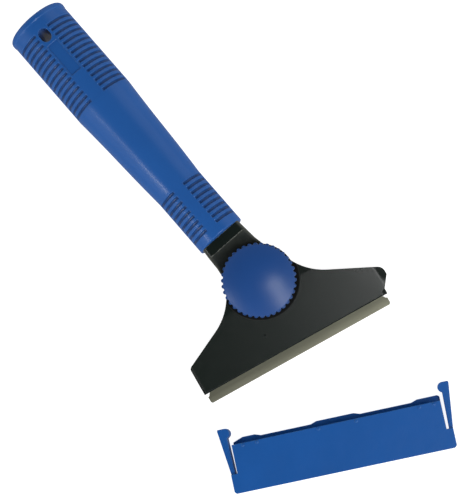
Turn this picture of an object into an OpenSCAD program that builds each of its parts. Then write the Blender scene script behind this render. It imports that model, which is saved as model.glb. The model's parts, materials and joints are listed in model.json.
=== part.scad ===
// Heavy-duty blade scraper for windows and floors, with its blade guard taken off.
// The head turns on the clamp bolt; the knob on the same bolt presses the jaws on the blade.
// Frame: the Z axis runs down the hanging hole, +Y from the blade to the free end of the
// handle, +Z up; the table is z = 0.

/* [Blade] */
// Length of the blade along its edge
blade_length = 100; // [60:1:160]
// Depth of the blade from its back to its edge
blade_depth = 18; // [14:0.5:24]
// Thickness of the blade
blade_thickness = 0.6; // [0.3:0.05:1]
// How far the blade stands out of the jaws
blade_exposed = 5.2; // [3:0.1:8]
// Radius of the notch in each short end of the blade
notch_radius = 1.2; // [0.6:0.1:1.8]

/* [Head] */
// Distance from the bolt axis to the front of the jaws
jaw_reach = 36; // [32:0.5:50]
// Distance from the bolt axis to the rear corner of a wing
wing_reach = 20.8; // [19:0.1:26]
// Slope of the rear edge of a wing
wing_slope = 26; // [18:1:32]
// Radius of the hollow curve between hub and wing
flare_radius = 30; // [25:1:50]
// Depth of the lower jaw below the blade
jaw_depth = 3; // [2:0.1:4]
// Depth of the hub below the blade
hub_depth = 6; // [5.6:0.1:8]
// Radius of the hub
hub_radius = 17.8; // [16.8:0.1:18]
// Height of the clamp plate above the blade plane at the bolt
plate_height = 7; // [6:0.1:9]
// Thickness of the clamp plate at its front edge
plate_front = 3.6; // [2.5:0.1:5]
// Overhang of the plate's clip wing past the blade
clip_wing = 5.2; // [3:0.1:6]
// Width of the slanted facet on the clip wing
facet_width = 4.6; // [2:0.1:6]

/* [Swivel] */
// Angle the head is turned from straight
swivel = 12; // [-14:1:14]
// Turn allowed to each side of straight
swivel_limit = 15; // [15:1:20]
// Downward bend of the head against the handle
bend = 6; // [4:0.5:9]
// Distance from the handle to the bolt axis
pivot_reach = 27.3; // [27:0.1:32]
// Radius of the round tongue
tongue_radius = 12.5; // [12:0.1:13.6]
// Thickness of the tongue
tongue_thickness = 3.6; // [3:0.1:4]

/* [Neck] */
// Width of the collar where it meets the handle
collar_width = 22.2; // [18:0.2:22.4]
// Height of the collar where it meets the handle
collar_height = 14.8; // [12:0.2:15]
// Length of the flat top of the collar
collar_length = 5.3; // [4:0.1:6]
// Length of the tang in the handle
tang_length = 58; // [30:1:70]

/* [Knob] */
// Diameter of the knob over its teeth
knob_diameter = 36.2; // [35:0.1:42]
// Height of the knob
knob_height = 14.6; // [13:0.1:18]
// Rise of the domed face
knob_dome = 3.6; // [2:0.1:5]
// Number of teeth
knob_teeth = 38; // [24:1:48]
// Diameter of the bolt
bolt_diameter = 6; // [5:0.5:6]
// Radial clearance of the running fits
fit = 0.06; // [0.02:0.01:0.1]

/* [Handle] */
// Length of the handle
handle_length = 141.5; // [110:0.5:180]
// Diameter of the front grip
front_diameter = 25.2; // [24.6:0.1:28]
// Diameter of the rear grip
rear_diameter = 31.6; // [29:0.1:36]
// Length of the front grip
front_grip = 31.5; // [30:0.5:34]
// Distance from the front end to the rear grip
rear_grip_start = 88.5; // [80:0.5:90]
// Height of the lip around the free end
lip_height = 0.3; // [0.2:0.1:0.8]
// Number of grooves on each side of the front grip
front_grooves = 9; // [3:1:9]
// Number of grooves on each side of the rear grip
rear_grooves = 15; // [3:1:15]
// Distance between grooves
groove_pitch = 3.02; // [2.8:0.02:3.1]
// Depth of a groove
groove_depth = 0.8; // [0.4:0.1:1.2]
// Half angle of the smooth band on top and below
band_angle = 17; // [10:1:30]
// Width of the hanging hole
hole_width = 5.4; // [4.5:0.1:7]
// Length of the hanging hole
hole_length = 7.4; // [7:0.1:10]
// Distance from the free end to the hanging hole
hole_inset = 11.8; // [10:0.1:14]

/* [Guard] */
// Height of the guard's front wall
guard_height = 23.5; // [20:0.5:30]
// Height of its spring arms
arm_height = 32; // [30:0.5:38]
// Thickness of a spring arm
arm_thickness = 2; // [1.6:0.1:4]
// Thickness of the walls
guard_wall = 1.8; // [1.2:0.1:2.5]
// Height of the solid foot under the channel
guard_foot = 9.5; // [5:0.5:12]
// Clear width of the channel
guard_channel = 7.8; // [7.8:0.1:10]
// Position of the guard beside the scraper
guard_at = [-23.4, -243.8]; // [-400:1:200]
// Turn of the guard on the table
guard_turn = -28.8; // [-60:0.1:60]

/* [Hidden] */
$fn = 96;
eps = 0.01;
blue = [0.11, 0.26, 0.58];
black = [0.11, 0.12, 0.12];
steel = [0.66, 0.66, 0.62];

axis_height = rear_diameter / 2 + lip_height;
hole_at = handle_length - hole_inset;
pivot_height = hub_depth * cos(bend) + hub_radius * sin(bend);
tongue_bottom = -2;
tongue_top = tongue_bottom + tongue_thickness;
rim_top = tongue_top - 0.3;
seat_radius = tongue_radius + 0.5;
stop_offset = tongue_radius + 0.3;
jaw_half = blade_length / 2 + 1;
plate_flat = 7.6;
plate_slope = atan((plate_height - blade_thickness - plate_front) / (jaw_reach - plate_flat));
knob_gap = 0.2;
running_gap = 0.02;
blade_back = jaw_reach + blade_exposed - blade_depth;
bolt_radius = bolt_diameter / 2;
bolt_head_radius = 7;
bolt_head_height = 1.8;
bolt_neck = bolt_diameter + 0.6;
bore_radius = bolt_radius + fit;
washer_thickness = 1.2;
washer_radius = 7;
knob_bottom = plate_height + washer_thickness + running_gap;
knob_top = knob_bottom + knob_height;
tooth_radius = 1;
knob_body = knob_diameter / 2 - 0.9;
insert_radius = 5.5;
insert_length = 8;
cut = 20;
tongue_root = 14.5;
bolt_top = knob_bottom + insert_length + 2.2;
first_front_groove = 5.6;
first_rear_groove = rear_grip_start + 1.8;
lip_length = 3;
guard_depth = guard_channel + 2 * guard_wall;
arm_inner = jaw_half + 1.6;
guard_half = arm_inner + arm_thickness;
guard_wall_half = arm_inner - 1.2;

// ---------- frames ----------

// Handle frame: origin on the axis at the handle's front end
module in_handle() translate([0, -hole_at, axis_height]) children();

// Bolt frame, not turned: origin on the bolt axis in the plane under the blade
module in_pivot()
    translate([0, -hole_at - pivot_reach, pivot_height]) rotate([bend, 0, 0]) children();

// Head frame: the bolt frame turned with the head; the blade points along -Y
module in_head() in_pivot() rotate([0, 0, -swivel]) children();

// Height in the handle frame of a plane parallel to the blade
function plane_z(y, n) =
    pivot_height - axis_height + n / cos(bend) + (y + pivot_reach) * tan(bend);

// ---------- shared shapes ----------

// Rounded rectangle, centred
module rounded_rect(w, h, r) {
    square([w - 2 * r, h], center = true);
    square([w, h - 2 * r], center = true);
    for (x = [-1, 1], y = [-1, 1])
        translate([x * (w / 2 - r), y * (h / 2 - r)]) circle(r, $fn = 48);
}

// Thin upright slice of the neck: half width, bottom, top, corner radius
module neck_slice(y, hw, bottom, top, r) {
    for (x = [-1, 1], z = [bottom + r, top - r])
        translate([x * (hw - r), y, z])
            rotate([-90, 0, 0]) cylinder(r = r, h = 0.1, $fn = 32);
}

// Half plan of a jaw, from the hub out to its front corner: hollow flare, straight wing
// edge, a wing end at half width wing with a round, and a cut corner at half width front
function jaw_side(front, wing, round) =
    let (s = wing_slope, steps = 8, arc_to = s + 38,
         ax = 0.62 * blade_length / 2,
         ah = wing_reach - (blade_length / 2 - ax) * tan(s),
         cx = ax + flare_radius * sin(s),
         ch = ah - flare_radius * cos(s),
         rx = wing - round,
         rh = ah + (rx - ax) * tan(s) + round / cos(s))
    concat(
        [for (i = [steps:-1:0])
            let (a = s + (arc_to - s) * i / steps)
            [cx - flare_radius * sin(a), -(ch + flare_radius * cos(a))]],
        [for (i = [0:6]) let (a = s + (90 - s) * i / 6)
            [rx + round * sin(a), -(rh - round * cos(a))]],
        [[wing, -rh - 1.6], [front + 0.35 * (wing - front), -jaw_reach + 3.2],
         [front, -jaw_reach + 2.2], [front, -jaw_reach]]);

// Plan of a jaw from its right side and its left side
module fishtail(right, left) {
    mirrored = [for (i = [len(left) - 1:-1:0]) [-left[i][0], left[i][1]]];
    polygon(concat(right, mirrored));
}

// Room swept by the neck between the two stops
module neck_sweep() {
    a = swivel_limit + 1;
    c = stop_offset * cos(a);
    s = stop_offset * sin(a);
    translate([0, 0, -cut]) linear_extrude(3 * cut)
        polygon([[c, -s], [c + 2 * cut * sin(a), -s + 2 * cut * cos(a)],
                 [-c - 2 * cut * sin(a), -s + 2 * cut * cos(a)], [-c, -s]]);
}

// Hub and wings of a jaw, open at the back for the neck
module jaw_block(right, left, bottom, top) {
    difference() {
        translate([0, 0, bottom]) {
            cylinder(r = hub_radius, h = top - bottom);
            linear_extrude(top - bottom) fishtail(right, left);
        }
        neck_sweep();
    }
}

// ---------- handle ----------

// Half section of the handle
module handle_section() {
    r1 = front_diameter / 2;
    r2 = rear_diameter / 2;
    r3 = r2 + lip_height;
    lip = handle_length - lip_length;
    end_round = [for (a = [0:22.5:90])
        [r3 - 1.6 + 1.6 * cos(a), handle_length - 1.6 + 1.6 * sin(a)]];
    polygon(concat(
        [[0, 0], [r1 - 0.5, 0], [r1, 0.5], [r1, front_grip], [r2, rear_grip_start],
         [r2, lip - 0.3], [r3, lip]],
        end_round,
        [[0, handle_length]]));
}

// One pair of grooves, left and right, stopping at the smooth bands
module groove(y, r)
    for (start = [band_angle - 90, 90 + band_angle])
        translate([0, y, 0]) rotate([-90, 0, 0]) rotate([0, 0, start])
            rotate_extrude(angle = 180 - 2 * band_angle)
                polygon([[r - groove_depth, -0.45], [r + 1, -1.24],
                         [r + 1, 1.24], [r - groove_depth, 0.45]]);

module tang_section() rounded_rect(14.4, 10.4, 1.5);

module hanging_hole() {
    half = (hole_length - hole_width) / 2;
    translate([0, hole_at, 0]) {
        for (s = [-1, 1])
            translate([0, s * half, 0])
                cylinder(r = hole_width / 2, h = rear_diameter + 4, center = true);
        cube([hole_width, 2 * half, rear_diameter + 4], center = true);
    }
}

module handle() color(blue) in_handle() difference() {
    rotate([-90, 0, 0]) rotate_extrude() handle_section();
    for (i = [0:front_grooves - 1])
        groove(first_front_groove + i * groove_pitch, front_diameter / 2);
    for (i = [0:rear_grooves - 1])
        groove(first_rear_groove + i * groove_pitch, rear_diameter / 2);
    translate([0, tang_length, 0]) rotate([90, 0, 0])
        linear_extrude(tang_length + 1) tang_section();
    translate([0, tang_length - 1, 0]) rotate([-90, 0, 0])
        cylinder(r = 5, h = handle_length - 40 - tang_length + 1);
    hanging_hole();
    translate([-3, handle_length - 36, rear_diameter / 2 - 0.75])
        cube([6, 19, 3]);
}

// ---------- neck ----------

module neck_body() {
    low = -collar_height / 2;
    high = collar_height / 2;
    w = collar_width / 2;
    foot = -pivot_reach + 13;
    mid = -pivot_reach + 16.8;
    hull() {
        neck_slice(-0.1, w, low, high, 2.6);
        neck_slice(-collar_length, w + 0.4, low, high - 0.3, 2.6);
    }
    hull() {
        neck_slice(-collar_length, w + 0.4, low, high - 0.9, 2.4);
        neck_slice(mid, w + 0.8, plane_z(mid, tongue_bottom), high - 6.2, 2);
        neck_slice(mid + 1.5, w + 0.6, plane_z(mid + 1.5, tongue_bottom), high - 5, 2);
    }
    hull() {
        neck_slice(mid, w + 0.8, plane_z(mid, tongue_bottom), high - 6.2, 2);
        neck_slice(foot, tongue_radius + 0.15, plane_z(foot, tongue_bottom),
            plane_z(foot, tongue_top + 2), 1);
    }
}

module neck() color(black) difference() {
    union() {
        in_handle() difference() {
            neck_body();
            translate([-hub_radius, -pivot_reach - hub_radius, -axis_height])
                cube([2 * hub_radius, hub_radius + 12, 2 * axis_height]);
        }
        in_handle() translate([0, tang_length, 0]) rotate([90, 0, 0])
            linear_extrude(tang_length + 1) tang_section();
        in_pivot() translate([0, 0, tongue_bottom]) {
            cylinder(r = tongue_radius, h = tongue_thickness);
            translate([-tongue_radius, 0, 0])
                cube([2 * tongue_radius, tongue_root, tongue_thickness]);
        }
    }
    in_pivot() {
        translate([0, 0, tongue_top]) cylinder(r = seat_radius + 0.2, h = cut);
        translate([0, 0, tongue_bottom - 1]) cylinder(r = bore_radius, h = cut);
        translate([-hub_radius - 2, -hub_radius - 2, tongue_bottom - cut])
            cube([2 * hub_radius + 4, 2 * hub_radius + 2.7, cut]);
    }
}

// ---------- head ----------

module base_jaw() color(black) in_head() difference() {
    side = jaw_side(jaw_half, jaw_half + 0.1, 1.6);
    union() {
        translate([0, 0, -hub_depth]) cylinder(r = hub_radius, h = hub_depth + tongue_bottom);
        jaw_block(side, side, -jaw_depth, 0.4);
        difference() {
            translate([0, 0, tongue_bottom - 1])
                cylinder(r = hub_radius, h = rim_top - tongue_bottom + 1);
            neck_sweep();
        }
    }
    // seat of the tongue
    translate([0, 0, tongue_bottom]) cylinder(r = seat_radius, h = cut);
    // seat of the blade, open to the front
    translate([-blade_length / 2 - 0.15, -jaw_reach - 1, 0])
        cube([blade_length + 0.3, jaw_reach + 1 - blade_back + 0.1, cut]);
    // bevel under the front edge
    translate([0, -jaw_reach, -jaw_depth]) rotate([15, 0, 0])
        translate([-jaw_half - 5, -6, -4.55]) cube([2 * jaw_half + 10, 12.4, 6]);
    // bolt head and its square neck
    translate([0, 0, -hub_depth - 1])
        cylinder(r = bolt_head_radius + 0.1, h = bolt_head_height + 1);
    translate([-bolt_neck / 2 - 0.05, -bolt_neck / 2 - 0.05, -hub_depth])
        cube([bolt_neck + 0.1, bolt_neck + 0.1, 10]);
}

// Height of the clamp plate's sloping top at a distance from the bolt axis
function plate_top(h) = plate_height - (h - plate_flat) * tan(plate_slope);

// Side section of the clamp plate along the head, y forward is negative
module plate_section() {
    step = jaw_reach - 11;
    front = jaw_reach - 0.2;
    polygon([
        [-front, blade_thickness], [-step, blade_thickness],
        [-step + 1, tongue_top], [25, tongue_top], [25, plate_height],
        [-plate_flat, plate_height], [-front + 0.6, plate_top(front - 0.6)],
        [-front, plate_top(front - 0.6) - 0.6]]);
}

// Cuts the top of a wing end down, outside a ridge at half width ridge
module wing_facet(ridge, turn, tilt)
    translate([ridge, -wing_reach - 5, plate_top(wing_reach + 5)])
        rotate([plate_slope, 0, 0]) rotate([0, 0, turn]) rotate([0, tilt, 0])
            translate([-8, -jaw_reach, 0]) cube([jaw_reach, 2 * jaw_reach, 12]);

module clamp_plate() color(black) in_head() difference() {
    clip = blade_length / 2 + clip_wing;
    plain = jaw_half - 0.5;
    corner = jaw_half - 2;
    intersection() {
        union() {
            jaw_block(jaw_side(corner, clip, 4), jaw_side(corner + 0.8, plain, 1.6), -1, cut);
            cylinder(r = tongue_radius, h = cut);
        }
        rotate([90, 0, 90]) linear_extrude(2 * clip + 10, center = true) plate_section();
    }
    wing_facet(clip - facet_width, 5, 25);
    mirror([1, 0, 0]) wing_facet(plain - 0.9, 0, 45);
    cylinder(r = bore_radius, h = cut);
}

module blade() color(steel) in_head() difference() {
    translate([0, 0, 0]) rotate([90, 0, 90])
        linear_extrude(blade_length, center = true)
            polygon([[-blade_back, 0], [-blade_back, blade_thickness],
                     [-jaw_reach - blade_exposed + 1.4, blade_thickness],
                     [-jaw_reach - blade_exposed, blade_thickness / 2 + 0.04],
                     [-jaw_reach - blade_exposed, blade_thickness / 2 - 0.04],
                     [-jaw_reach - blade_exposed + 1.4, 0]]);
    for (s = [-1, 1]) {
        translate([s * blade_length / 2, -jaw_reach - 0.4, -1])
            cylinder(r = notch_radius, h = 3);
        translate([s * blade_length / 2, -jaw_reach - blade_exposed, 0])
            rotate([0, 0, 45]) cube([1, 1, 3], center = true);
    }
}

module clamp_bolt() color(steel) in_head() {
    translate([0, 0, -hub_depth]) cylinder(r = bolt_head_radius, h = bolt_head_height);
    translate([-bolt_neck / 2, -bolt_neck / 2, -hub_depth + bolt_head_height - eps])
        cube([bolt_neck, bolt_neck, hub_depth - bolt_head_height + tongue_bottom - 0.1 + eps]);
    translate([0, 0, -hub_depth + 1])
        cylinder(r = bolt_radius, h = hub_depth - 1 + bolt_top);
}

// ---------- knob ----------

module washer() color(steel) in_head() translate([0, 0, plate_height]) difference() {
    cylinder(r = washer_radius, h = washer_thickness);
    translate([0, 0, -1]) cylinder(r = bolt_radius + 0.3, h = washer_thickness + 2);
}

module knob() color(blue) in_head() {
    shoulder = knob_height - knob_dome;
    dome_radius = (pow(knob_body, 2) + pow(knob_dome, 2)) / (2 * knob_dome);
    translate([0, 0, knob_bottom]) difference() {
        union() {
            translate([0, 0, 0.5]) linear_extrude(shoulder - 1.1) {
                circle(knob_body - 0.3);
                for (i = [0:knob_teeth - 1])
                    rotate([0, 0, i * 360 / knob_teeth])
                        translate([knob_diameter / 2 - tooth_radius, 0])
                            circle(tooth_radius, $fn = 32);
            }
            translate([0, 0, knob_gap]) cylinder(r = 8.5, h = 3);
            intersection() {
                translate([0, 0, shoulder - 1.2]) cylinder(r = knob_body, h = knob_dome + 2);
                translate([0, 0, knob_height - dome_radius]) sphere(dome_radius, $fn = 180);
            }
        }
        // open underside between hub and skirt
        translate([0, 0, -1]) difference() {
            cylinder(r = knob_body - 2.6, h = shoulder - 1);
            translate([0, 0, -1]) cylinder(r = 8.5, h = shoulder + 2);
        }
        translate([0, 0, -1]) cylinder(r = insert_radius, h = insert_length + 1);
        translate([0, 0, insert_length - 1]) cylinder(r = bolt_radius + 0.5, h = 4.2);
    }
}

module knob_insert() color(steel) in_head() translate([0, 0, knob_bottom]) difference() {
    cylinder(r = insert_radius, h = insert_length);
    translate([0, 0, -1]) cylinder(r = bore_radius, h = insert_length + 2);
}

// ---------- blade guard, lying on its back wall ----------

// A spring arm, its foot in the guard's foot, with a round nub that points inward
module guard_arm() {
    lean = 2.6;
    nub = 2.5;
    top = arm_height;
    linear_extrude(guard_channel) polygon([
        [arm_inner + 0.8, guard_foot - 1], [arm_inner, guard_foot],
        [arm_inner + 0.5, top - 4.6], [arm_inner + 1.3, top],
        [guard_half + lean - 0.3, top], [guard_half + lean, top - 0.6],
        [guard_half, guard_foot], [guard_half - 0.8, guard_foot - 1]]);
    translate([arm_inner + 1.3, top - nub, 0]) cylinder(r = nub, h = guard_channel);
}

// Back wall with three raised segments that slope down at their ends
module guard_back() {
    w = guard_wall_half;
    low = guard_height + 1.9;
    high = low + 1;
    linear_extrude(guard_wall) polygon([
        [-w, 1], [w, 1], [w, high - 0.8], [w - 1, high], [w - 11, high], [w - 14, low],
        [12, low], [9, high], [-9.5, high], [-12.5, low], [-w + 14, low], [-w + 11, high],
        [-w + 5, high], [-w, low - 0.8]]);
}

// One wall of the channel, from inside the foot up to its top edge
module guard_plate(z, from, to, top)
    translate([from, 1, z]) cube([to - from, top - 1, guard_wall]);

module blade_guard() color(blue)
    translate([guard_at[0], guard_at[1], 0]) rotate([0, 0, guard_turn])
        translate([0, -guard_height / 2, 0]) {
            w = guard_wall_half;
            // foot
            linear_extrude(guard_depth)
                polygon([[-guard_half + 1, 0], [guard_half - 1, 0], [guard_half, 1],
                         [guard_half, guard_foot], [-guard_half, guard_foot],
                         [-guard_half, 1]]);
            // front wall, and the taller back wall
            guard_plate(guard_depth - guard_wall, -w, w, guard_height);
            guard_back();
            // spring arms
            for (side = [0, 1]) mirror([side, 0, 0])
                translate([0, 0, guard_wall]) guard_arm();
        }

handle();
neck();
base_jaw();
clamp_plate();
blade();
clamp_bolt();
washer();
knob();
knob_insert();
blade_guard();
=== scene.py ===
"""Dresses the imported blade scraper: materials, finished pieces, floor, light and camera."""
import json
import math

import bpy
from bpy.props import FloatProperty, FloatVectorProperty, IntProperty, PointerProperty
from mathutils import Matrix, Vector


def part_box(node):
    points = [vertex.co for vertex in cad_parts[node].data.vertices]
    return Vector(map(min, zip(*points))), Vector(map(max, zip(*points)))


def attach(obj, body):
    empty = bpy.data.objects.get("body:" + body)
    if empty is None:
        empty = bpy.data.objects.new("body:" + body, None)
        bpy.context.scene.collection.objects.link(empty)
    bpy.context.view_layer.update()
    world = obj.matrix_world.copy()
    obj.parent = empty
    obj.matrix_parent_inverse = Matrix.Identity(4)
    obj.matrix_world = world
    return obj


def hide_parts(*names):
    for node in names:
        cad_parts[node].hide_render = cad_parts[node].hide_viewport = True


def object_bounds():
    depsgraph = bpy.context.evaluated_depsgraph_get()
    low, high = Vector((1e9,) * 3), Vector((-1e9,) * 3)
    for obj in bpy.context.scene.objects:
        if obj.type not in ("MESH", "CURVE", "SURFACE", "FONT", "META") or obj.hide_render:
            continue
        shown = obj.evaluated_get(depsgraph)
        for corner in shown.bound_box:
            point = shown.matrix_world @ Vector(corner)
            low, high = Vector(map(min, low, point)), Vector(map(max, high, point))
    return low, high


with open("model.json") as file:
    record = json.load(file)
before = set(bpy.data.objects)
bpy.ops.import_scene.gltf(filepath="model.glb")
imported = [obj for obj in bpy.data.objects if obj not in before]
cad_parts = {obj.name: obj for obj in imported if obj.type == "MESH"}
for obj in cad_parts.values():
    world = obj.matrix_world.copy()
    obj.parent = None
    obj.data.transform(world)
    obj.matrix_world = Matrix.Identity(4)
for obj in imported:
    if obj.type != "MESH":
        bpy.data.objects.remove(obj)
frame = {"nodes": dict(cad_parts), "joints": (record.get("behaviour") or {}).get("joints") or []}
CAD_BOX = [list(corner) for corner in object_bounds()]
NODES = frame["nodes"]
JOINTS = {joint["name"]: joint for joint in frame["joints"]}

bl_info = {
    "name": "Blade Scraper Dressing",
    "version": (1, 0, 0),
    "blender": (4, 5, 0),
    "location": "View3D > Sidebar > Scraper",
    "description": "Finishes a clamp-head blade scraper and its guard and sets them on a studio floor",
    "category": "Object",
}

MM = 0.001


# ---------- settings ----------

def colour(name, text, value):
    """A colour setting."""
    return FloatVectorProperty(name=name, description=text, default=value, size=3,
                               min=0.0, max=1.0, subtype="COLOR")


def length(name, text, value):
    """A length setting, its default given in mm."""
    return FloatProperty(name=name, description=text, default=value * MM, min=0.0,
                         soft_max=0.2, unit="LENGTH", precision=4)


class ScraperFinish(bpy.types.PropertyGroup):
    handle: colour("Handle", "Colour of the handle's plastic", (0.0195, 0.108, 0.375))
    handle_shade: colour("Handle shade", "Darker clouds in the handle's plastic",
                         (0.0160, 0.090, 0.325))
    knob: colour("Knob", "Colour of the knob's plastic", (0.0150, 0.070, 0.262))
    guard: colour("Guard", "Colour of the guard's plastic", (0.0085, 0.098, 0.375))
    head: colour("Head", "Colour of the neck, the base jaw and the clamp plate",
                 (0.0048, 0.0082, 0.0066))
    blade: colour("Blade", "Colour of the blade's steel", (0.185, 0.186, 0.138))
    handle_gloss: FloatProperty(name="Handle roughness", description="Roughness of the handle",
                                default=0.235, min=0.0, max=1.0, subtype="FACTOR")
    head_gloss: FloatProperty(name="Head roughness", description="Roughness of the black plastic",
                              default=0.25, min=0.0, max=1.0, subtype="FACTOR")
    wear: FloatProperty(name="Edge wear", description="How much the edges are rubbed pale",
                        default=0.5, min=0.0, max=1.0, subtype="FACTOR")


class ScraperHandle(bpy.types.PropertyGroup):
    front: length("Front radius", "Radius of the front grip", 12.6)
    rear: length("Rear radius", "Radius of the rear grip", 15.8)
    front_grip: length("Front grip", "Length of the front grip", 31.5)
    rear_start: length("Rear grip start", "From the front end to the rear grip", 88.5)
    lip_length: length("Lip length", "Length of the raised lip at the free end", 3.0)
    lip_rise: length("Lip rise", "Height of the lip above the rear grip", 0.28)
    end_round: length("End round", "Radius of the rounding at the free end", 1.6)
    first_front: length("First front groove", "From the front end to the first groove", 5.6)
    first_rear: length("First rear groove", "From the front end to the first rear groove", 90.3)
    pitch: length("Groove pitch", "Distance between two grooves", 3.02)
    depth: length("Groove depth", "Depth of a groove beside the smooth band", 0.8)
    front_count: IntProperty(name="Front grooves", description="Grooves on the front grip",
                             default=9, min=1, max=9)
    rear_count: IntProperty(name="Rear grooves", description="Grooves on the rear grip",
                            default=15, min=1, max=15)
    band: FloatProperty(name="Smooth band", description="Half angle of the band with no grooves",
                        default=math.radians(15.0), min=0.1, max=1.0, subtype="ANGLE")
    segments: IntProperty(name="Segments", description="Facets round the handle",
                          default=180, min=48, max=288)


class ScraperStage(bpy.types.PropertyGroup):
    lens: FloatProperty(name="Lens", description="Focal length of the camera",
                        default=140.4, min=10.0, max=300.0, unit="CAMERA")
    floor_size: FloatProperty(name="Floor", description="Side of the square floor",
                              default=6.0, min=1.0, max=20.0, unit="LENGTH")
    key_power: FloatProperty(name="Key light", description="Power of the light over the head",
                             default=2.35, min=0.0, max=500.0, unit="POWER")
    strip_power: FloatProperty(name="Strip light", description="Power of the low light on the left",
                               default=1.35, min=0.0, max=500.0, unit="POWER")
    glint_power: FloatProperty(name="Glint light",
                               description="Power of the small light on the left",
                               default=0.62, min=0.0, max=500.0, unit="POWER")
    front_power: FloatProperty(name="Front light", description="Power of the low light in front",
                               default=2.6, min=0.0, max=500.0, unit="POWER")
    sky: FloatProperty(name="Sky", description="Strength of the pale walls all round",
                       default=0.80, min=0.0, max=5.0)
    glow: FloatProperty(name="Floor glow", description="Light that the pale floor gives by itself",
                        default=0.88, min=0.0, max=5.0)
    zenith: FloatProperty(name="Zenith", description="Strength of the dark opening overhead",
                          default=0.05, min=0.0, max=5.0)


# ---------- node helpers ----------

def wire(tree, node, inputs):
    """Gives each named input of a node its value, or links a socket to it."""
    for key, value in inputs.items():
        socket = node.inputs[key]
        if isinstance(value, bpy.types.NodeSocket):
            tree.links.new(value, socket)
        elif socket.type == "RGBA":
            socket.default_value = (*tuple(value)[:3], 1)
        else:
            socket.default_value = value


def put(tree, kind, inputs=None, **values):
    """A new node with its properties set by name and its inputs wired."""
    node = tree.nodes.new(kind)
    for key, value in values.items():
        setattr(node, key, value)
    wire(tree, node, inputs or {})
    return node


def maths(tree, operation, first, second, clamp=True):
    """The result of one sum on two numbers, held between 0 and 1 unless clamp is off."""
    return put(tree, "ShaderNodeMath", {0: first, 1: second},
               operation=operation, use_clamp=clamp).outputs[0]


def vector_maths(tree, operation, *vectors):
    """A node that works on one or two vectors."""
    return put(tree, "ShaderNodeVectorMath", dict(enumerate(vectors)), operation=operation)


def mapped(tree, value, was, now=(0.0, 1.0), **values):
    """A value carried from one span over to another."""
    return put(tree, "ShaderNodeMapRange", {
        "Value": value, "From Min": was[0], "From Max": was[1],
        "To Min": now[0], "To Max": now[1]}, **values).outputs["Result"]


def own_place(tree):
    """Where a point lies on its own piece."""
    return put(tree, "ShaderNodeTexCoord").outputs["Object"]


def noise(tree, place, scale, detail, roughness=0.5):
    """Cloudy noise between 0 and 1."""
    return put(tree, "ShaderNodeTexNoise", {
        "Vector": place, "Scale": scale, "Detail": detail,
        "Roughness": roughness}).outputs["Fac"]


def mixed(tree, mask, first, second):
    """A colour or number between two, by a mask; the first is a socket."""
    kind, left, right, out = ("FLOAT", 2, 3, 0) if first.type == "VALUE" else ("RGBA", 6, 7, 2)
    return put(tree, "ShaderNodeMix", {"Factor": mask, left: first, right: second},
               data_type=kind).outputs[out]


def bumped(tree, height, strength, distance, normal=None):
    """A normal that follows a height, on top of another normal where one is given."""
    inputs = {"Height": height, "Strength": strength, "Distance": distance}
    if normal is not None:
        inputs["Normal"] = normal
    return put(tree, "ShaderNodeBump", inputs).outputs["Normal"]


def tint(tone, share):
    """A colour made darker or lighter by a share."""
    return tuple(channel * share for channel in tone)


# ---------- effects that several materials share ----------

def group_tree(name, inputs, outputs):
    """An empty group with named sockets: its tree, what is given to it, and its output node."""
    kinds = {"f": "NodeSocketFloat", "c": "NodeSocketColor", "v": "NodeSocketVector"}
    tree = bpy.data.node_groups.new(name, "ShaderNodeTree")
    for label, kind, default in inputs:
        socket = tree.interface.new_socket(label, in_out="INPUT", socket_type=kinds[kind])
        if default is not None:
            socket.default_value = default
    for label, kind in outputs:
        tree.interface.new_socket(label, in_out="OUTPUT", socket_type=kinds[kind])
    return tree, tree.nodes.new("NodeGroupInput").outputs, tree.nodes.new("NodeGroupOutput")


def place_group(tree, build, **inputs):
    """Places a shared group with its own values; its first use builds it."""
    name = build.__name__.replace("_", " ").capitalize()
    group = bpy.data.node_groups.get(name) or build(name)
    return put(tree, "ShaderNodeGroup", inputs, node_tree=group)


def moulded_skin(name):
    """Moulded plastic: cloudy colour, uneven gloss and the fine grain of the mould."""
    tree, given, out = group_tree(
        name,
        [("Color", "c", (0.1, 0.2, 0.5, 1)), ("Shade", "c", (0.05, 0.1, 0.3, 1)),
         ("Cloud", "f", 0.25), ("Roughness", "f", 0.4), ("Grain", "f", 0.3)],
        [("Color", "c"), ("Roughness", "f"), ("Height", "f")])
    place = own_place(tree)
    cloud = noise(tree, place, scale=34.0, detail=3.0, roughness=0.55)
    flow = noise(tree, place, scale=220.0, detail=4.0, roughness=0.6)
    grain = noise(tree, place, scale=1700.0, detail=2.0, roughness=0.6)
    share = maths(tree, "MULTIPLY", cloud, given["Cloud"])
    uneven = mapped(tree, flow, (0.0, 1.0), (-0.03, 0.04))
    wire(tree, out, {
        "Color": mixed(tree, share, given["Color"], given["Shade"]),
        "Roughness": maths(tree, "ADD", uneven, given["Roughness"]),
        "Height": maths(tree, "MULTIPLY", grain, given["Grain"], clamp=False)})
    return tree


def edge_wear(name):
    """Rubbed edges: a paler colour in broken patches where the surface turns sharply."""
    tree, given, out = group_tree(
        name,
        [("Color", "c", (0.1, 0.1, 0.1, 1)), ("Worn", "c", (0.4, 0.4, 0.4, 1)),
         ("Amount", "f", 0.5), ("Radius", "f", 0.0004)],
        [("Color", "c")])
    soft = put(tree, "ShaderNodeBevel", {"Radius": given["Radius"]}, samples=6)
    sharp = put(tree, "ShaderNodeNewGeometry")
    turn = vector_maths(tree, "DOT_PRODUCT", soft.outputs["Normal"], sharp.outputs["Normal"])
    edge = mapped(tree, turn.outputs["Value"], (0.995, 0.90))
    chips = noise(tree, own_place(tree), scale=420.0, detail=5.0, roughness=0.65)
    broken = mapped(tree, chips, (0.38, 0.62))
    both = maths(tree, "MULTIPLY", edge, broken, clamp=False)
    mask = maths(tree, "MULTIPLY", both, given["Amount"])
    wire(tree, out, {"Color": mixed(tree, mask, given["Color"], given["Worn"])})
    return tree


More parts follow.
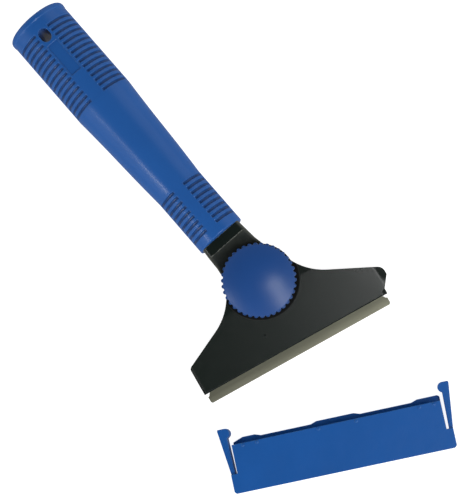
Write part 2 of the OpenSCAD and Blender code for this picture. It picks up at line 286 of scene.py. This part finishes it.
def scuffs(name):
    """Fine scratches that run one way, as a height and a mask."""
    tree, given, out = group_tree(
        name, [("Angle", "f", 0.0), ("Scale", "f", 300.0), ("Stretch", "f", 0.04)],
        [("Height", "f"), ("Mask", "f")])
    turn = put(tree, "ShaderNodeCombineXYZ", {"Z": given["Angle"]}).outputs[0]
    spin = put(tree, "ShaderNodeVectorRotate", {"Vector": own_place(tree), "Rotation": turn},
               rotation_type="EULER_XYZ")
    pull = put(tree, "ShaderNodeCombineXYZ", {"X": given["Stretch"], "Y": 1.0, "Z": 1.0})
    drawn = vector_maths(tree, "MULTIPLY", spin.outputs["Vector"], pull.outputs[0])
    lines = noise(tree, drawn.outputs["Vector"], given["Scale"], detail=4.0, roughness=0.7)
    wire(tree, out, {"Height": lines, "Mask": mapped(tree, lines, (0.42, 0.68))})
    return tree


def rub_ring(name):
    """A disc round an axis, as a mask: the shadow painted round the foot of a part on that axis."""
    tree, given, out = group_tree(
        name, [("Centre", "v", None), ("Axis", "v", None), ("Radius", "f", 0.019),
               ("Edge", "f", 0.0006)], [("Mask", "f")])
    away = vector_maths(tree, "SUBTRACT", own_place(tree), given["Centre"]).outputs["Vector"]
    cross = vector_maths(tree, "CROSS_PRODUCT", away, given["Axis"]).outputs["Vector"]
    reach = vector_maths(tree, "LENGTH", cross).outputs["Value"]
    inside = maths(tree, "SUBTRACT", given["Radius"], reach, clamp=False)
    wire(tree, out, {"Mask": maths(tree, "DIVIDE", inside, given["Edge"])})
    return tree


def slope_dust(name):
    """Paler faces where they lean away from flat, in broken patches, as a mask: painted light."""
    tree, given, out = group_tree(name, [("Amount", "f", 0.5), ("Lean", "f", 0.9)],
                                  [("Mask", "f")])
    facing = put(tree, "ShaderNodeTexCoord").outputs["Normal"]
    upward = put(tree, "ShaderNodeSeparateXYZ", {"Vector": facing}).outputs["Z"]
    lean = mapped(tree, upward, (given["Lean"], 0.3))
    cloud = noise(tree, own_place(tree), scale=260.0, detail=4.0)
    patch = mapped(tree, cloud, (0.30, 0.70), (0.6, 1.0))
    both = maths(tree, "MULTIPLY", lean, patch, clamp=False)
    wire(tree, out, {"Mask": maths(tree, "MULTIPLY", both, given["Amount"])})
    return tree


# ---------- materials ----------

# Colours of rubbed edges, of the painted light on sloping faces, and of the painted shadow round the
# knob with its roughness
WORN_HANDLE = (0.09, 0.22, 0.48)
WORN_KNOB = (0.10, 0.20, 0.42)
WORN_GUARD = (0.12, 0.32, 0.55)
WORN_NECK = (0.30, 0.31, 0.27)
WORN_JAWS = (0.10, 0.105, 0.095)
WORN_METAL = (0.75, 0.74, 0.70)
SLOPE_LIGHT_COLOUR = (0.125, 0.128, 0.108)
SHADOW_RING_COLOUR, SHADOW_RING_ROUGHNESS = (0.0012, 0.0014, 0.0012), 0.95

# Plated steel of bolt and washer, and brass of the knob's insert, each with its darker clouds
ZINC, ZINC_SHADE = (0.50, 0.50, 0.49), (0.32, 0.32, 0.31)
BRASS, BRASS_SHADE = (0.60, 0.42, 0.16), (0.42, 0.28, 0.09)

# How dark the shade painted into a hollow gets, as a share of the plastic's shade colour
PAINTED_SHADE_SHARE = 0.38


def new_material(name):
    """A material, its tree and its shader."""
    material = bpy.data.materials.new(name)
    material.use_nodes = True
    return material, material.node_tree, material.node_tree.nodes["Principled BSDF"]


def plastic(name, body, shade, worn, cloud, roughness, grain, wear, rub=0.5 * MM,
            hollow=0.0, ring=None, dust=0.0, ripple=0.0, shine=0.27):
    """Moulded plastic: cloudy skin and rubbed edges, and where asked painted light on sloping faces,
    painted shade in hollows, a painted shadow ring and an uneven surface."""
    material, tree, shader = new_material(name)
    skin = place_group(tree, moulded_skin, Color=body, Shade=shade, Cloud=cloud,
                       Roughness=roughness, Grain=grain)
    edge = place_group(tree, edge_wear, Color=skin.outputs["Color"], Worn=worn, Amount=wear,
                       Radius=rub)
    tone, rough = edge.outputs["Color"], skin.outputs["Roughness"]
    # Painted light: sloping faces made paler, in broken patches
    if dust:
        lean = place_group(tree, slope_dust, Amount=dust)
        tone = mixed(tree, lean.outputs["Mask"], tone, SLOPE_LIGHT_COLOUR)
    # Painted shade: hollows made darker by how deep they lie
    if hollow:
        depth = put(tree, "ShaderNodeAttribute", attribute_name="hollow")
        share = maths(tree, "MULTIPLY", depth.outputs["Fac"], hollow)
        tone = mixed(tree, share, tone, tint(shade, PAINTED_SHADE_SHARE))
    # Painted shadow: a dark, dull ring round the knob's foot
    if ring:
        centre, axis, reach = ring
        shadow_ring = place_group(tree, rub_ring, Centre=centre, Axis=axis, Radius=reach)
        tone = mixed(tree, shadow_ring.outputs["Mask"], tone, SHADOW_RING_COLOUR)
        rough = mixed(tree, shadow_ring.outputs["Mask"], rough, SHADOW_RING_ROUGHNESS)
    soft = put(tree, "ShaderNodeBevel", {"Radius": rub}, samples=6)
    normal = bumped(tree, skin.outputs["Height"], 0.25, 0.2 * MM, soft.outputs["Normal"])
    if ripple:
        waves = noise(tree, own_place(tree), scale=150.0, detail=3.0)
        normal = bumped(tree, waves, ripple, 1.0 * MM, normal)
    wire(tree, shader, {"Base Color": tone, "Roughness": rough, "Normal": normal,
                        "Specular IOR Level": shine})
    return material


def metal(name, body, shade, roughness, angle, scale, stretch, metallic=1.0):
    """Ground or turned metal with fine lines and rubbed edges."""
    material, tree, shader = new_material(name)
    skin = place_group(tree, moulded_skin, Color=body, Shade=shade, Cloud=0.9,
                       Roughness=roughness, Grain=0.2)
    lines = place_group(tree, scuffs, Angle=angle, Scale=scale, Stretch=stretch)
    dark = maths(tree, "MULTIPLY", lines.outputs["Mask"], 0.35, clamp=False)
    edge = place_group(tree, edge_wear, Color=mixed(tree, dark, skin.outputs["Color"], shade),
                       Worn=WORN_METAL, Amount=0.5, Radius=0.2 * MM)
    wire(tree, shader, {"Base Color": edge.outputs["Color"],
                        "Roughness": skin.outputs["Roughness"],
                        "Normal": bumped(tree, lines.outputs["Height"], 0.2, 0.1 * MM),
                        "Metallic": metallic})
    return material


# ---------- modelling helpers ----------

# Edges that turn more than this are sharp: on the moulded pieces, and on handle and blade
MOULD_ANGLE = math.radians(32.0)
SHARP_ANGLE = math.radians(30.0)

# Corners of a CAD copy this close are one, and faces that turn less than this are one flat
MERGE_GAP = 0.002 * MM
FLAT_ANGLE = math.radians(0.3)

# How wide the mould leaves the sharp edges of each piece rounded, in mm
EDGE_ROUND = {"neck": 0.30, "base_jaw": 0.30, "clamp_plate": 0.45, "knob": 0.25,
              "blade_guard": 0.22}

# A bump drawn up in steps: rise as a share of its height, and how much each step narrows it
BUMP_STEPS = ((0.9, 0.97), (0.3, 0.85), (0.2, 0.70), (0.1, 0.4))


def pick(piece):
    """Selects this piece alone and makes it the active one."""
    bpy.ops.object.select_all(action="DESELECT")
    piece.select_set(True)
    bpy.context.view_layer.objects.active = piece


def start_from(primitive, **values):
    """Adds a primitive with nothing else selected, and puts its place in its mesh."""
    bpy.ops.object.select_all(action="DESELECT")
    primitive(**values)
    bpy.ops.object.transform_apply(location=True, rotation=True, scale=True)
    return bpy.context.active_object


def face_outwards():
    """Turns all faces outwards and leaves edit mode."""
    bpy.ops.mesh.select_all(action="SELECT")
    bpy.ops.mesh.normals_make_consistent(inside=False)
    bpy.ops.object.mode_set(mode="OBJECT")


def merged_copy(node, name):
    """A copy of a CAD node under its own name, with doubled corners merged and flats joined up."""
    piece = bpy.data.objects.new(name, NODES[node].data.copy())
    bpy.context.collection.objects.link(piece)
    piece.data.materials.clear()
    pick(piece)
    bpy.ops.mesh.customdata_custom_splitnormals_clear()
    bpy.ops.object.mode_set(mode="EDIT")
    bpy.ops.mesh.select_all(action="SELECT")
    bpy.ops.mesh.remove_doubles(threshold=MERGE_GAP)
    bpy.ops.mesh.dissolve_limited(angle_limit=FLAT_ANGLE)
    bpy.ops.object.mode_set(mode="OBJECT")
    return piece


def apply_modifier(piece, kind, **values):
    """Adds a modifier, sets it and applies it."""
    pick(piece)
    bpy.ops.object.modifier_add(type=kind)
    modifier = piece.modifiers[-1]
    for key, value in values.items():
        setattr(modifier, key, value)
    bpy.ops.object.modifier_apply(modifier=modifier.name)


def join_or_cut(piece, other, operation):
    """Unites a piece with another shape, or cuts the shape out of it, and removes the shape."""
    apply_modifier(piece, "BOOLEAN", object=other, operation=operation, solver="EXACT")
    bpy.data.objects.remove(other)


def block(low, high, round_over, along=2):
    """A box between two corners, with the edges that run along one axis rounded."""
    low, high = Vector(low), Vector(high)
    box = start_from(bpy.ops.mesh.primitive_cube_add, size=1.0, location=(low + high) / 2,
                     scale=high - low)
    bpy.ops.object.mode_set(mode="EDIT")
    bpy.ops.mesh.select_mode(type="EDGE")
    bpy.ops.object.mode_set(mode="OBJECT")
    for polygon in box.data.polygons:
        polygon.select = False
    for edge in box.data.edges:
        a, b = (box.data.vertices[i].co for i in edge.vertices)
        edge.select = abs((a - b)[along]) > 0.5 * (high - low)[along]
    bpy.ops.object.mode_set(mode="EDIT")
    bpy.ops.mesh.bevel(offset=round_over, segments=6, affect="EDGES")
    bpy.ops.mesh.select_mode(type="VERT")
    bpy.ops.object.mode_set(mode="OBJECT")
    return box


def raise_bump(piece, place, radius, height):
    """Raises a small low dome on a face of a piece, its foot sunk a little into it."""
    bump = start_from(bpy.ops.mesh.primitive_circle_add, vertices=20, radius=radius,
                      fill_type="NGON", location=place - Vector((0, 0, 0.5 * height)))
    bpy.ops.object.mode_set(mode="EDIT")
    bpy.ops.mesh.select_all(action="SELECT")
    for rise, draw in BUMP_STEPS:
        bpy.ops.mesh.extrude_region_move(TRANSFORM_OT_translate={"value": (0, 0, rise * height)})
        bpy.ops.transform.resize(value=(draw, draw, 1), center_override=place)
    face_outwards()
    join_or_cut(piece, bump, "UNION")


def smooth(piece, angle):
    """Shades a piece smooth over edges that turn less than the angle."""
    pick(piece)
    bpy.ops.object.shade_smooth_by_angle(angle=angle)


def shade(piece):
    """Shades a moulded piece smooth, with its flats kept flat."""
    smooth(piece, MOULD_ANGLE)
    apply_modifier(piece, "WEIGHTED_NORMAL", keep_sharp=True)


def soften(piece, node):
    """Rounds the sharp edges of a node's copy, as a mould leaves them, and shades it."""
    apply_modifier(piece, "BEVEL", width=EDGE_ROUND[node] * MM, segments=2,
                   limit_method="ANGLE", angle_limit=MOULD_ANGLE, miter_outer="MITER_ARC",
                   use_clamp_overlap=True)
    shade(piece)


def settle(piece, material, body, node):
    """Gives a finished piece its material and its body, and hides the CAD node it stands for."""
    piece.data.materials.clear()
    piece.data.materials.append(material)
    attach(piece, body)
    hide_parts(node)


def dress(node, material):
    """Gives a CAD node one material."""
    mesh = NODES[node].data
    mesh.materials.clear()
    mesh.materials.append(material)


def head_matrix():
    """Frame of the head: the bolt axis is Z, the blade's edge runs along X, forward is -Y."""
    axis = Vector(JOINTS["head_swivel"]["axis"]).normalized()
    pivot = Vector(JOINTS["head_swivel"]["pos_m"])
    points = [vertex.co - pivot for vertex in NODES["blade"].data.vertices]
    back = -sum((point - axis * point.dot(axis) for point in points), Vector()).normalized()
    side = back.cross(axis)
    return Matrix((
        (side.x, back.x, axis.x, pivot.x), (side.y, back.y, axis.y, pivot.y),
        (side.z, back.z, axis.z, pivot.z), (0, 0, 0, 1)))


# ---------- the handle's own shape, in mm where it says nothing else ----------

# Half width of a groove, and the share of its depth there
GROOVE_SECTION = ((0.30, 1.0), (0.55, 0.92), (0.68, 0.50), (0.79, 0.10), (0.91, 0.0))

# Angle from upright in degrees, and the share of its depth that a groove keeps up to there
GROOVE_FADE = ((78.0, 1.0), (82.0, 0.85), (85.0, 0.5), (87.0, 0.2))

# How far the smooth band is sunk, from so many pitches inside its ends on
BAND_SINK = ((0.0, 0.07), (0.5, 0.09))

# Front end: distance from it, and what the radius lacks there
FRONT_END = ((0.0, 0.5), (0.12, 0.18), (0.45, 0.0), (0.9, 0.0), (2.4, 0.0))

# Step up to the lip: distance from its start, and height above the grip or below the lip
STEP_FOOT = ((-1.2, 0.0), (-0.3, 0.0), (-0.1, 0.05))
STEP_TOP = ((0.1, 0.03), (0.4, 0.0))

# Rows in the taper and in the end's rounding, and how far the rows between keep from both ends
TAPER_ROWS, ROUND_ROWS = 24, 8
FRONT_CLEAR, LIP_CLEAR = 3.0, 1.5

# How much the taper swings out and in on its way, as a share of its rise
TAPER_SWING = 0.035

# The tang's socket and the hanging hole: half sizes and rounding
SOCKET_WIDE, SOCKET_HIGH, SOCKET_ROUND = 7.2, 5.2, 1.5
HOLE_WIDE, HOLE_LONG, HOLE_ROUND = 2.7, 3.7, 2.69

# The sunk panel: half width, its two ends from the handle's free end, depth and rounding
PANEL_WIDE, PANEL_FAR, PANEL_NEAR, PANEL_DEEP, PANEL_ROUND = 3.0, 36.0, 17.0, 1.05, 0.3

# Painted shade in a hollow begins at this depth, and is full so much deeper
SHADE_DEPTH_FROM, SHADE_DEPTH_SPAN = 0.2, 0.5

# The panel's corners lie no deeper than this, and get only this share of the painted shade
PANEL_REACH, PANEL_SHADE_SHARE = 1.3, 0.25


def grip_zones(sizes):
    """First groove, count and radius of the two ribbed grips."""
    return ((sizes.first_front, sizes.front_count, sizes.front),
            (sizes.first_rear, sizes.rear_count, sizes.rear))


def grip_span(sizes, first, count):
    """Where a grip's grooves begin and end, half a pitch beyond the outer ones."""
    return first - sizes.pitch / 2, first + (count - 0.5) * sizes.pitch


def held(value):
    """A value held between 0 and 1."""
    return min(max(value, 0.0), 1.0)


def plain_radius(sizes, t):
    """Radius of the handle at a distance from its front end, with no grooves and no lip."""
    share = held((t - sizes.front_grip) / (sizes.rear_start - sizes.front_grip))
    ease = held(share + TAPER_SWING * math.sin(2 * math.pi * share))
    return sizes.front + (sizes.rear - sizes.front) * ease


def handle_rows(sizes, whole):
    """Rows along a handle of this whole length: distance from its front end and radius."""
    places = set()
    for first, count, _ in grip_zones(sizes):
        places.update(first + i * sizes.pitch + side * reach * MM for i in range(count)
                      for side in (-1, 1) for reach, _ in GROOVE_SECTION)
        places.update(grip_span(sizes, first, count))
    taper = sizes.rear_start - sizes.front_grip
    places.update(sizes.front_grip + taper * i / TAPER_ROWS for i in range(TAPER_ROWS + 1))
    lip, top, turn = whole - sizes.lip_length, sizes.rear + sizes.lip_rise, sizes.end_round
    rows = [(t * MM, sizes.front - short * MM) for t, short in FRONT_END]
    rows += [(t, plain_radius(sizes, t)) for t in sorted(places)
             if FRONT_CLEAR * MM < t < lip - LIP_CLEAR * MM]
    rows += [(lip + t * MM, sizes.rear + rise * MM) for t, rise in STEP_FOOT]
    rows += [(lip + t * MM, top - short * MM) for t, short in STEP_TOP]
    for k in range(ROUND_ROWS + 1):
        angle = math.radians(90 * k / ROUND_ROWS)
        rows.append((whole - turn + turn * math.sin(angle), top - turn + turn * math.cos(angle)))
    return rows


def draw_handle(sizes, axis, whole):
    """Draws the handle's shell out ring by ring from a disc at its front end."""
    rows = handle_rows(sizes, whole)
    shell = start_from(bpy.ops.mesh.primitive_circle_add, vertices=sizes.segments,
                       radius=rows[0][1], fill_type="NGON", location=axis,
                       rotation=(math.radians(90), 0, 0))
    shell.name = "handle_shell"
    bpy.ops.object.mode_set(mode="EDIT")
    bpy.ops.mesh.select_all(action="SELECT")
    for (was, thick), (now, next_thick) in zip(rows, rows[1:]):
        bpy.ops.mesh.extrude_region_move(TRANSFORM_OT_translate={"value": (0, now - was, 0)})
        k = next_thick / thick
        bpy.ops.transform.resize(value=(k, 1, k), center_override=axis)
    face_outwards()
    return shell


def shrink_rows(shell, axis, k, chosen):
    """Draws the chosen corners of the shell towards its axis."""
    mesh = shell.data
    mesh.polygons.foreach_set("select", [False] * len(mesh.polygons))
    mesh.edges.foreach_set("select", [False] * len(mesh.edges))
    mesh.vertices.foreach_set("select", chosen)
    bpy.ops.object.mode_set(mode="EDIT")
    bpy.ops.transform.resize(value=(k, 1, k), center_override=axis)
    bpy.ops.object.mode_set(mode="OBJECT")


def press_grooves(shell, sizes, axis):
    """Presses the grooves into the ribbed grips, and sinks the smooth bands a little."""
    near_enough = 0.01 * MM
    places = [vertex.co - axis for vertex in shell.data.vertices]
    turns = [math.degrees(math.atan2(abs(place.x), abs(place.z))) for place in places]
    band = math.degrees(sizes.band)
    for first, count, radius in grip_zones(sizes):
        for reach, share in GROOVE_SECTION:
            if not share:
                continue
            rows = [first + i * sizes.pitch + side * reach * MM
                    for i in range(count) for side in (-1, 1)]
            on_row = [min(abs(place.y - row) for row in rows) < near_enough for place in places]
            start = band
            for end, part in GROOVE_FADE:
                chosen = [hit and start < turn <= end for hit, turn in zip(on_row, turns)]
                shrink_rows(shell, axis, 1 - sizes.depth * share * part / radius, chosen)
                start = end
        near, far = grip_span(sizes, first, count)
        for inset, sink in BAND_SINK:
            reach = inset * sizes.pitch + near_enough
            chosen = [turn < band and near + reach < place.y < far - reach
                      for turn, place in zip(turns, places)]
            shrink_rows(shell, axis, 1 - sink * MM / radius, chosen)


def cut_openings(shell, axis, top, end):
    """Cuts the tang's socket, the hanging hole and the sunk panel into the handle."""
    tang_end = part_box("neck")[1].y
    socket = block((-SOCKET_WIDE * MM, axis.y - MM, axis.z - SOCKET_HIGH * MM),
                   (SOCKET_WIDE * MM, tang_end, axis.z + SOCKET_HIGH * MM),
                   SOCKET_ROUND * MM, along=1)
    hole = block((-HOLE_WIDE * MM, -HOLE_LONG * MM, -MM),
                 (HOLE_WIDE * MM, HOLE_LONG * MM, top + MM), HOLE_ROUND * MM)
    panel = block((-PANEL_WIDE * MM, end - PANEL_FAR * MM, top - PANEL_DEEP * MM),
                  (PANEL_WIDE * MM, end - PANEL_NEAR * MM, top + MM), PANEL_ROUND * MM)
    for cutter in (socket, hole, panel):
        join_or_cut(shell, cutter, "DIFFERENCE")


def mark_hollows(shell, sizes, axis):
    """Writes the painted shade of each corner, from 0 to 1, by how deep it lies below the grips' skin.
    """
    layer = shell.data.attributes.new("hollow", "FLOAT", "POINT")
    for vertex in shell.data.vertices:
        place = vertex.co - axis
        for first, count, radius in grip_zones(sizes):
            if first - sizes.pitch / 2 < place.y < first + (count + 1.5) * sizes.pitch:
                sunk = radius - math.hypot(place.x, place.z)
                share = held((sunk - SHADE_DEPTH_FROM * MM) / (SHADE_DEPTH_SPAN * MM))
                on_band = math.atan2(abs(place.x), place.z) < sizes.band
                if on_band and sunk < PANEL_REACH * MM:
                    share *= PANEL_SHADE_SHARE
                layer.data[vertex.index].value = share


# ---------- operators ----------

class SCRAPER_OT_handle(bpy.types.Operator):
    """Makes the ribbed handle in its satin blue plastic"""
    bl_idname = "scraper.handle"
    bl_label = "Handle"

    def execute(self, context):
        finish = context.scene.scraper_finish
        sizes = context.scene.scraper_handle
        # The handle's plastic has shade painted into its grooves and openings
        blue = plastic("Handle plastic", finish.handle, finish.handle_shade, WORN_HANDLE,
                       cloud=0.9, roughness=finish.handle_gloss, grain=0.5, wear=finish.wear,
                       hollow=0.7)
        low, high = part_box("handle")
        axis = Vector((0.0, low.y, (low.z + high.z) / 2))
        shell = draw_handle(sizes, axis, high.y - low.y)
        press_grooves(shell, sizes, axis)
        cut_openings(shell, axis, high.z, high.y)
        # Depth of each corner, for the shade painted into grooves and openings
        mark_hollows(shell, sizes, axis)
        smooth(shell, SHARP_ANGLE)
        settle(shell, blue, "grip", "handle")
        return {"FINISHED"}


# Place of the small round mould mark on the clamp plate from the bolt's axis, and its size, in
# mm; the last number of the place is any height that is clear of the plate
MOULD_MARK = (-11.0, -25.0, 30.0)
MARK_RADIUS, MARK_HEIGHT = 0.75, 0.45

# Width of the shadow painted round the knob on the clamp plate, beyond its teeth, in mm
SHADOW_RING_WIDTH = 1.7


class SCRAPER_OT_head(bpy.types.Operator):
    """Finishes the neck, the base jaw and the clamp plate in black plastic"""
    bl_idname = "scraper.head"
    bl_label = "Head"

    def execute(self, context):
        finish = context.scene.scraper_finish
        head = head_matrix()
        axis, pivot = head.col[2].to_3d(), head.col[3].to_3d()
        knob = NODES["knob"].data.vertices
        # Reach of the shadow painted round the knob on the clamp plate
        shadow_ring = max((vertex.co - pivot).cross(axis).length for vertex in knob) + SHADOW_RING_WIDTH * MM

        def black(name, worn, cloud, wear, **extras):
            return plastic(name, finish.head, tint(finish.head, 1.6), worn, cloud,
                           finish.head_gloss, 0.45, wear, **extras)

        # The neck has painted light on its sloping faces, the plate a painted shadow round the knob
        blacks = {
            "neck": black("Neck plastic", WORN_NECK, 1.0, 0.9, rub=0.6 * MM, dust=0.9),
            "base_jaw": black("Jaw plastic", WORN_JAWS, 1.0, finish.wear),
            "clamp_plate": black("Plate plastic", WORN_JAWS, 0.6, finish.wear,
                                 ring=(pivot, axis, shadow_ring)),
        }
        for node, body in (("neck", "grip"), ("base_jaw", "head"), ("clamp_plate", "clamp")):
            piece = merged_copy(node, node + "_moulding")
            soften(piece, node)
            if node == "clamp_plate":
                found, spot, _, _ = piece.ray_cast(head @ (Vector(MOULD_MARK) * MM), -axis)
                if not found:
                    raise RuntimeError("the mould mark has no place on the clamp plate")
                raise_bump(piece, spot, MARK_RADIUS * MM, MARK_HEIGHT * MM)
                shade(piece)
            settle(piece, blacks[node], body, node)
        return {"FINISHED"}


# The notch in each short end of the blade: radius, and place from the edge, in mm
NOTCH_RADIUS, NOTCH_PLACE = 2.1, 6.3


class SCRAPER_OT_blade(bpy.types.Operator):
    """Notches the blade and gives it its ground steel"""
    bl_idname = "scraper.blade"
    bl_label = "Blade"

    def execute(self, context):
        finish = context.scene.scraper_finish
        head = head_matrix()
        turn = math.atan2(head[1][0], head[0][0])
        steel = metal("Blade steel", finish.blade, tint(finish.blade, 0.62), roughness=0.46,
                      angle=-turn, scale=380.0, stretch=0.05, metallic=0.85)
        blade = merged_copy("blade", "ground_blade")
        corners = [head.inverted() @ vertex.co for vertex in blade.data.vertices]
        half = max(corner.x for corner in corners)
        edge = min(corner.y for corner in corners)
        for side in (-1, 1):
            spot = head @ Vector((side * half, edge + NOTCH_PLACE * MM, 0))
            cutter = start_from(bpy.ops.mesh.primitive_cylinder_add, vertices=32,
                                radius=NOTCH_RADIUS * MM, depth=6 * MM, location=spot,
                                rotation=head.to_euler())
            join_or_cut(blade, cutter, "DIFFERENCE")
        smooth(blade, SHARP_ANGLE)
        settle(blade, steel, "head", "blade")
        return {"FINISHED"}


class SCRAPER_OT_knob(bpy.types.Operator):
    """Finishes the knob in plastic, and the bolt, washer and insert in metal"""
    bl_idname = "scraper.knob"
    bl_label = "Knob and bolt"

    def execute(self, context):
        finish = context.scene.scraper_finish
        blue = plastic("Knob plastic", finish.knob, tint(finish.knob, 0.75), WORN_KNOB,
                       cloud=0.8, roughness=0.30, grain=0.35, wear=finish.wear, shine=0.32)
        cap = merged_copy("knob", "knob_cap")
        soften(cap, "knob")
        settle(cap, blue, "knob", "knob")
        zinc = metal("Bolt steel", ZINC, ZINC_SHADE, roughness=0.34, angle=0.6, scale=500.0,
                     stretch=0.2)
        dress("clamp_bolt", zinc)
        dress("washer", zinc)
        dress("knob_insert", metal("Insert brass", BRASS, BRASS_SHADE, roughness=0.30,
                                   angle=0.0, scale=500.0, stretch=0.2))
        return {"FINISHED"}


# Places of the small pips along the guard from its middle, their rim from the guard's closed
# side, and their size, in mm
GUARD_PIPS = (-46.0, -39.0, -8.5, 10.0, 41.0, 48.0)
GUARD_RIM = 22.4
PIP_RADIUS, PIP_HEIGHT = 0.8, 0.5


def guard_rim(channel):
    """Middle of the guard's upper rim, and the direction of its longest edges."""
    corners = [vertex.co for vertex in channel.data.vertices]
    spans = [[corners[i] for i in edge.vertices] for edge in channel.data.edges]
    start, end = max(spans, key=lambda span: (span[0] - span[1]).length)
    along = (end - start).normalized() * (1 if end.x > start.x else -1)
    across = Vector((-along.y, along.x, 0))
    ways = [corner @ along for corner in corners]
    closed = min(corner @ across for corner in corners)
    rim = along * (min(ways) + max(ways)) / 2 + across * (closed + GUARD_RIM * MM)
    return rim + Vector((0, 0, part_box("blade_guard")[1].z)), along


class SCRAPER_OT_guard(bpy.types.Operator):
    """Finishes the blade guard in blue plastic, with the pips on its rim"""
    bl_idname = "scraper.guard"
    bl_label = "Blade guard"

    def execute(self, context):
        finish = context.scene.scraper_finish
        blue = plastic("Guard plastic", finish.guard, tint(finish.guard, 0.75), WORN_GUARD,
                       cloud=0.9, roughness=0.36, grain=0.5, wear=finish.wear, ripple=0.12)
        channel = merged_copy("blade_guard", "guard_channel")
        rim, along = guard_rim(channel)
        soften(channel, "blade_guard")
        for place in GUARD_PIPS:
            raise_bump(channel, rim + along * place * MM, PIP_RADIUS * MM, PIP_HEIGHT * MM)
        shade(channel)
        settle(channel, blue, "grip", "blade_guard")
        return {"FINISHED"}


# ---------- stage ----------

WHITE = (1.0, 1.0, 1.0)

# Place of each light from the middle of the scraper, and its side, in metres
LIGHTS = {
    "key": ((0.19, -0.42, 0.885), 0.30),
    "strip": ((-0.80, -0.10, 0.53), 0.45),
    "glint": ((-0.77, 0.09, 0.62), 0.10),
    "front": ((0.13, -0.72, 0.68), 0.35),
}

# Height of a direction, from -1 straight down to 1 straight up: over the first span the walls
# darken towards the opening, and over the second the light from below rises to full
SKY_SPAN = (0.48, 0.86)
BELOW_SPAN, BELOW_DIM = (-0.10, 0.10), 0.3

# The camera's place and aim in metres, and its turn about its own line of sight
CAMERA_EYE = (0.030086, -0.269211, 0.950558)
CAMERA_AIM = (-0.001171, -0.135230, 0.0)
CAMERA_ROLL = math.radians(-54.282)


def lay_floor(stage, middle):
    """A plain pale floor just under the scraper, which doesn't show in its gloss."""
    floor = start_from(bpy.ops.mesh.primitive_plane_add, size=stage.floor_size,
                       location=(middle.x, middle.y, -0.1 * MM))
    floor.name = "floor"
    material, tree, shader = new_material("Paper floor")
    skin = place_group(tree, moulded_skin, Color=tint(WHITE, 0.52), Shade=tint(WHITE, 0.50),
                       Cloud=0.5, Roughness=0.7, Grain=0.2)
    wire(tree, shader, {"Base Color": skin.outputs["Color"],
                        "Roughness": skin.outputs["Roughness"],
                        "Emission Color": WHITE, "Emission Strength": stage.glow})
    floor.data.materials.append(material)
    floor.visible_glossy = False


def raise_sky(scene, stage):
    """Pale walls all round, with a dark opening overhead and dimmer light from below."""
    scene.world = bpy.data.worlds.new("Studio")
    scene.world.use_nodes = True
    tree = scene.world.node_tree
    where = put(tree, "ShaderNodeTexCoord").outputs["Generated"]
    height = put(tree, "ShaderNodeSeparateXYZ", {"Vector": where}).outputs["Z"]
    walls = mapped(tree, height, SKY_SPAN, (stage.sky, stage.zenith),
                   interpolation_type="SMOOTHSTEP")
    below = mapped(tree, height, BELOW_SPAN, (BELOW_DIM, 1.0))
    wire(tree, tree.nodes["Background"], {
        "Color": WHITE, "Strength": maths(tree, "MULTIPLY", walls, below, clamp=False)})


def hang_lights(collection, stage, middle):
    """Four soft lights, all turned to the middle of the scraper."""
    for name, (place, size) in LIGHTS.items():
        light = bpy.data.lights.new(name, "AREA")
        light.energy = getattr(stage, name + "_power")
        light.size = size
        lamp = bpy.data.objects.new(name, light)
        collection.objects.link(lamp)
        lamp.location = middle + Vector(place)
        lamp.rotation_euler = (-Vector(place)).to_track_quat("-Z", "Y").to_euler()


def set_camera(context, stage):
    """The camera, almost straight above the handle's front end."""
    lens = bpy.data.cameras.new("camera")
    lens.lens = stage.lens
    lens.sensor_width = 36.0
    lens.sensor_fit = "AUTO"
    camera = bpy.data.objects.new("camera", lens)
    context.collection.objects.link(camera)
    eye = Vector(CAMERA_EYE)
    sight = (Vector(CAMERA_AIM) - eye).to_track_quat("-Z", "Y").to_matrix()
    turned = sight @ Matrix.Rotation(CAMERA_ROLL, 3, "Z")
    camera.matrix_world = Matrix.Translation(eye) @ turned.to_4x4()
    context.scene.camera = camera
    context.scene.view_settings.view_transform = "Standard"


class SCRAPER_OT_stage(bpy.types.Operator):
    """Sets the floor, the sky, the lights and the camera"""
    bl_idname = "scraper.stage"
    bl_label = "Stage"

    def execute(self, context):
        stage = context.scene.scraper_stage
        low, high = (Vector(corner) for corner in CAD_BOX)
        middle = (low + high) / 2
        lay_floor(stage, middle)
        raise_sky(context.scene, stage)
        hang_lights(context.collection, stage, middle)
        set_camera(context, stage)
        return {"FINISHED"}


# ---------- add-on ----------

class SCRAPER_PT_panel(bpy.types.Panel):
    """Lists the scraper's settings, pieces and stage"""
    bl_idname = "SCRAPER_PT_panel"
    bl_label = "Blade scraper"
    bl_space_type = "VIEW_3D"
    bl_region_type = "UI"
    bl_category = "Scraper"

    def draw(self, context):
        layout = self.layout
        scene = context.scene
        for group in (scene.scraper_finish, scene.scraper_handle, scene.scraper_stage):
            box = layout.box()
            for name in group.__annotations__:
                box.prop(group, name)
        for name in ("handle", "head", "blade", "knob", "guard", "stage"):
            layout.operator("scraper." + name)


CLASSES = (ScraperFinish, ScraperHandle, ScraperStage, SCRAPER_OT_handle, SCRAPER_OT_head,
           SCRAPER_OT_blade, SCRAPER_OT_knob, SCRAPER_OT_guard, SCRAPER_OT_stage,
           SCRAPER_PT_panel)


def register():
    for cls in CLASSES:
        bpy.utils.register_class(cls)
    bpy.types.Scene.scraper_finish = PointerProperty(type=ScraperFinish)
    bpy.types.Scene.scraper_handle = PointerProperty(type=ScraperHandle)
    bpy.types.Scene.scraper_stage = PointerProperty(type=ScraperStage)


def unregister():
    del bpy.types.Scene.scraper_finish
    del bpy.types.Scene.scraper_handle
    del bpy.types.Scene.scraper_stage
    for cls in reversed(CLASSES):
        bpy.utils.unregister_class(cls)


def main():
    register()
    bpy.ops.scraper.handle()
    bpy.ops.scraper.head()
    bpy.ops.scraper.blade()
    bpy.ops.scraper.knob()
    bpy.ops.scraper.guard()
    bpy.ops.scraper.stage()


if __name__ == "__main__":
    main()
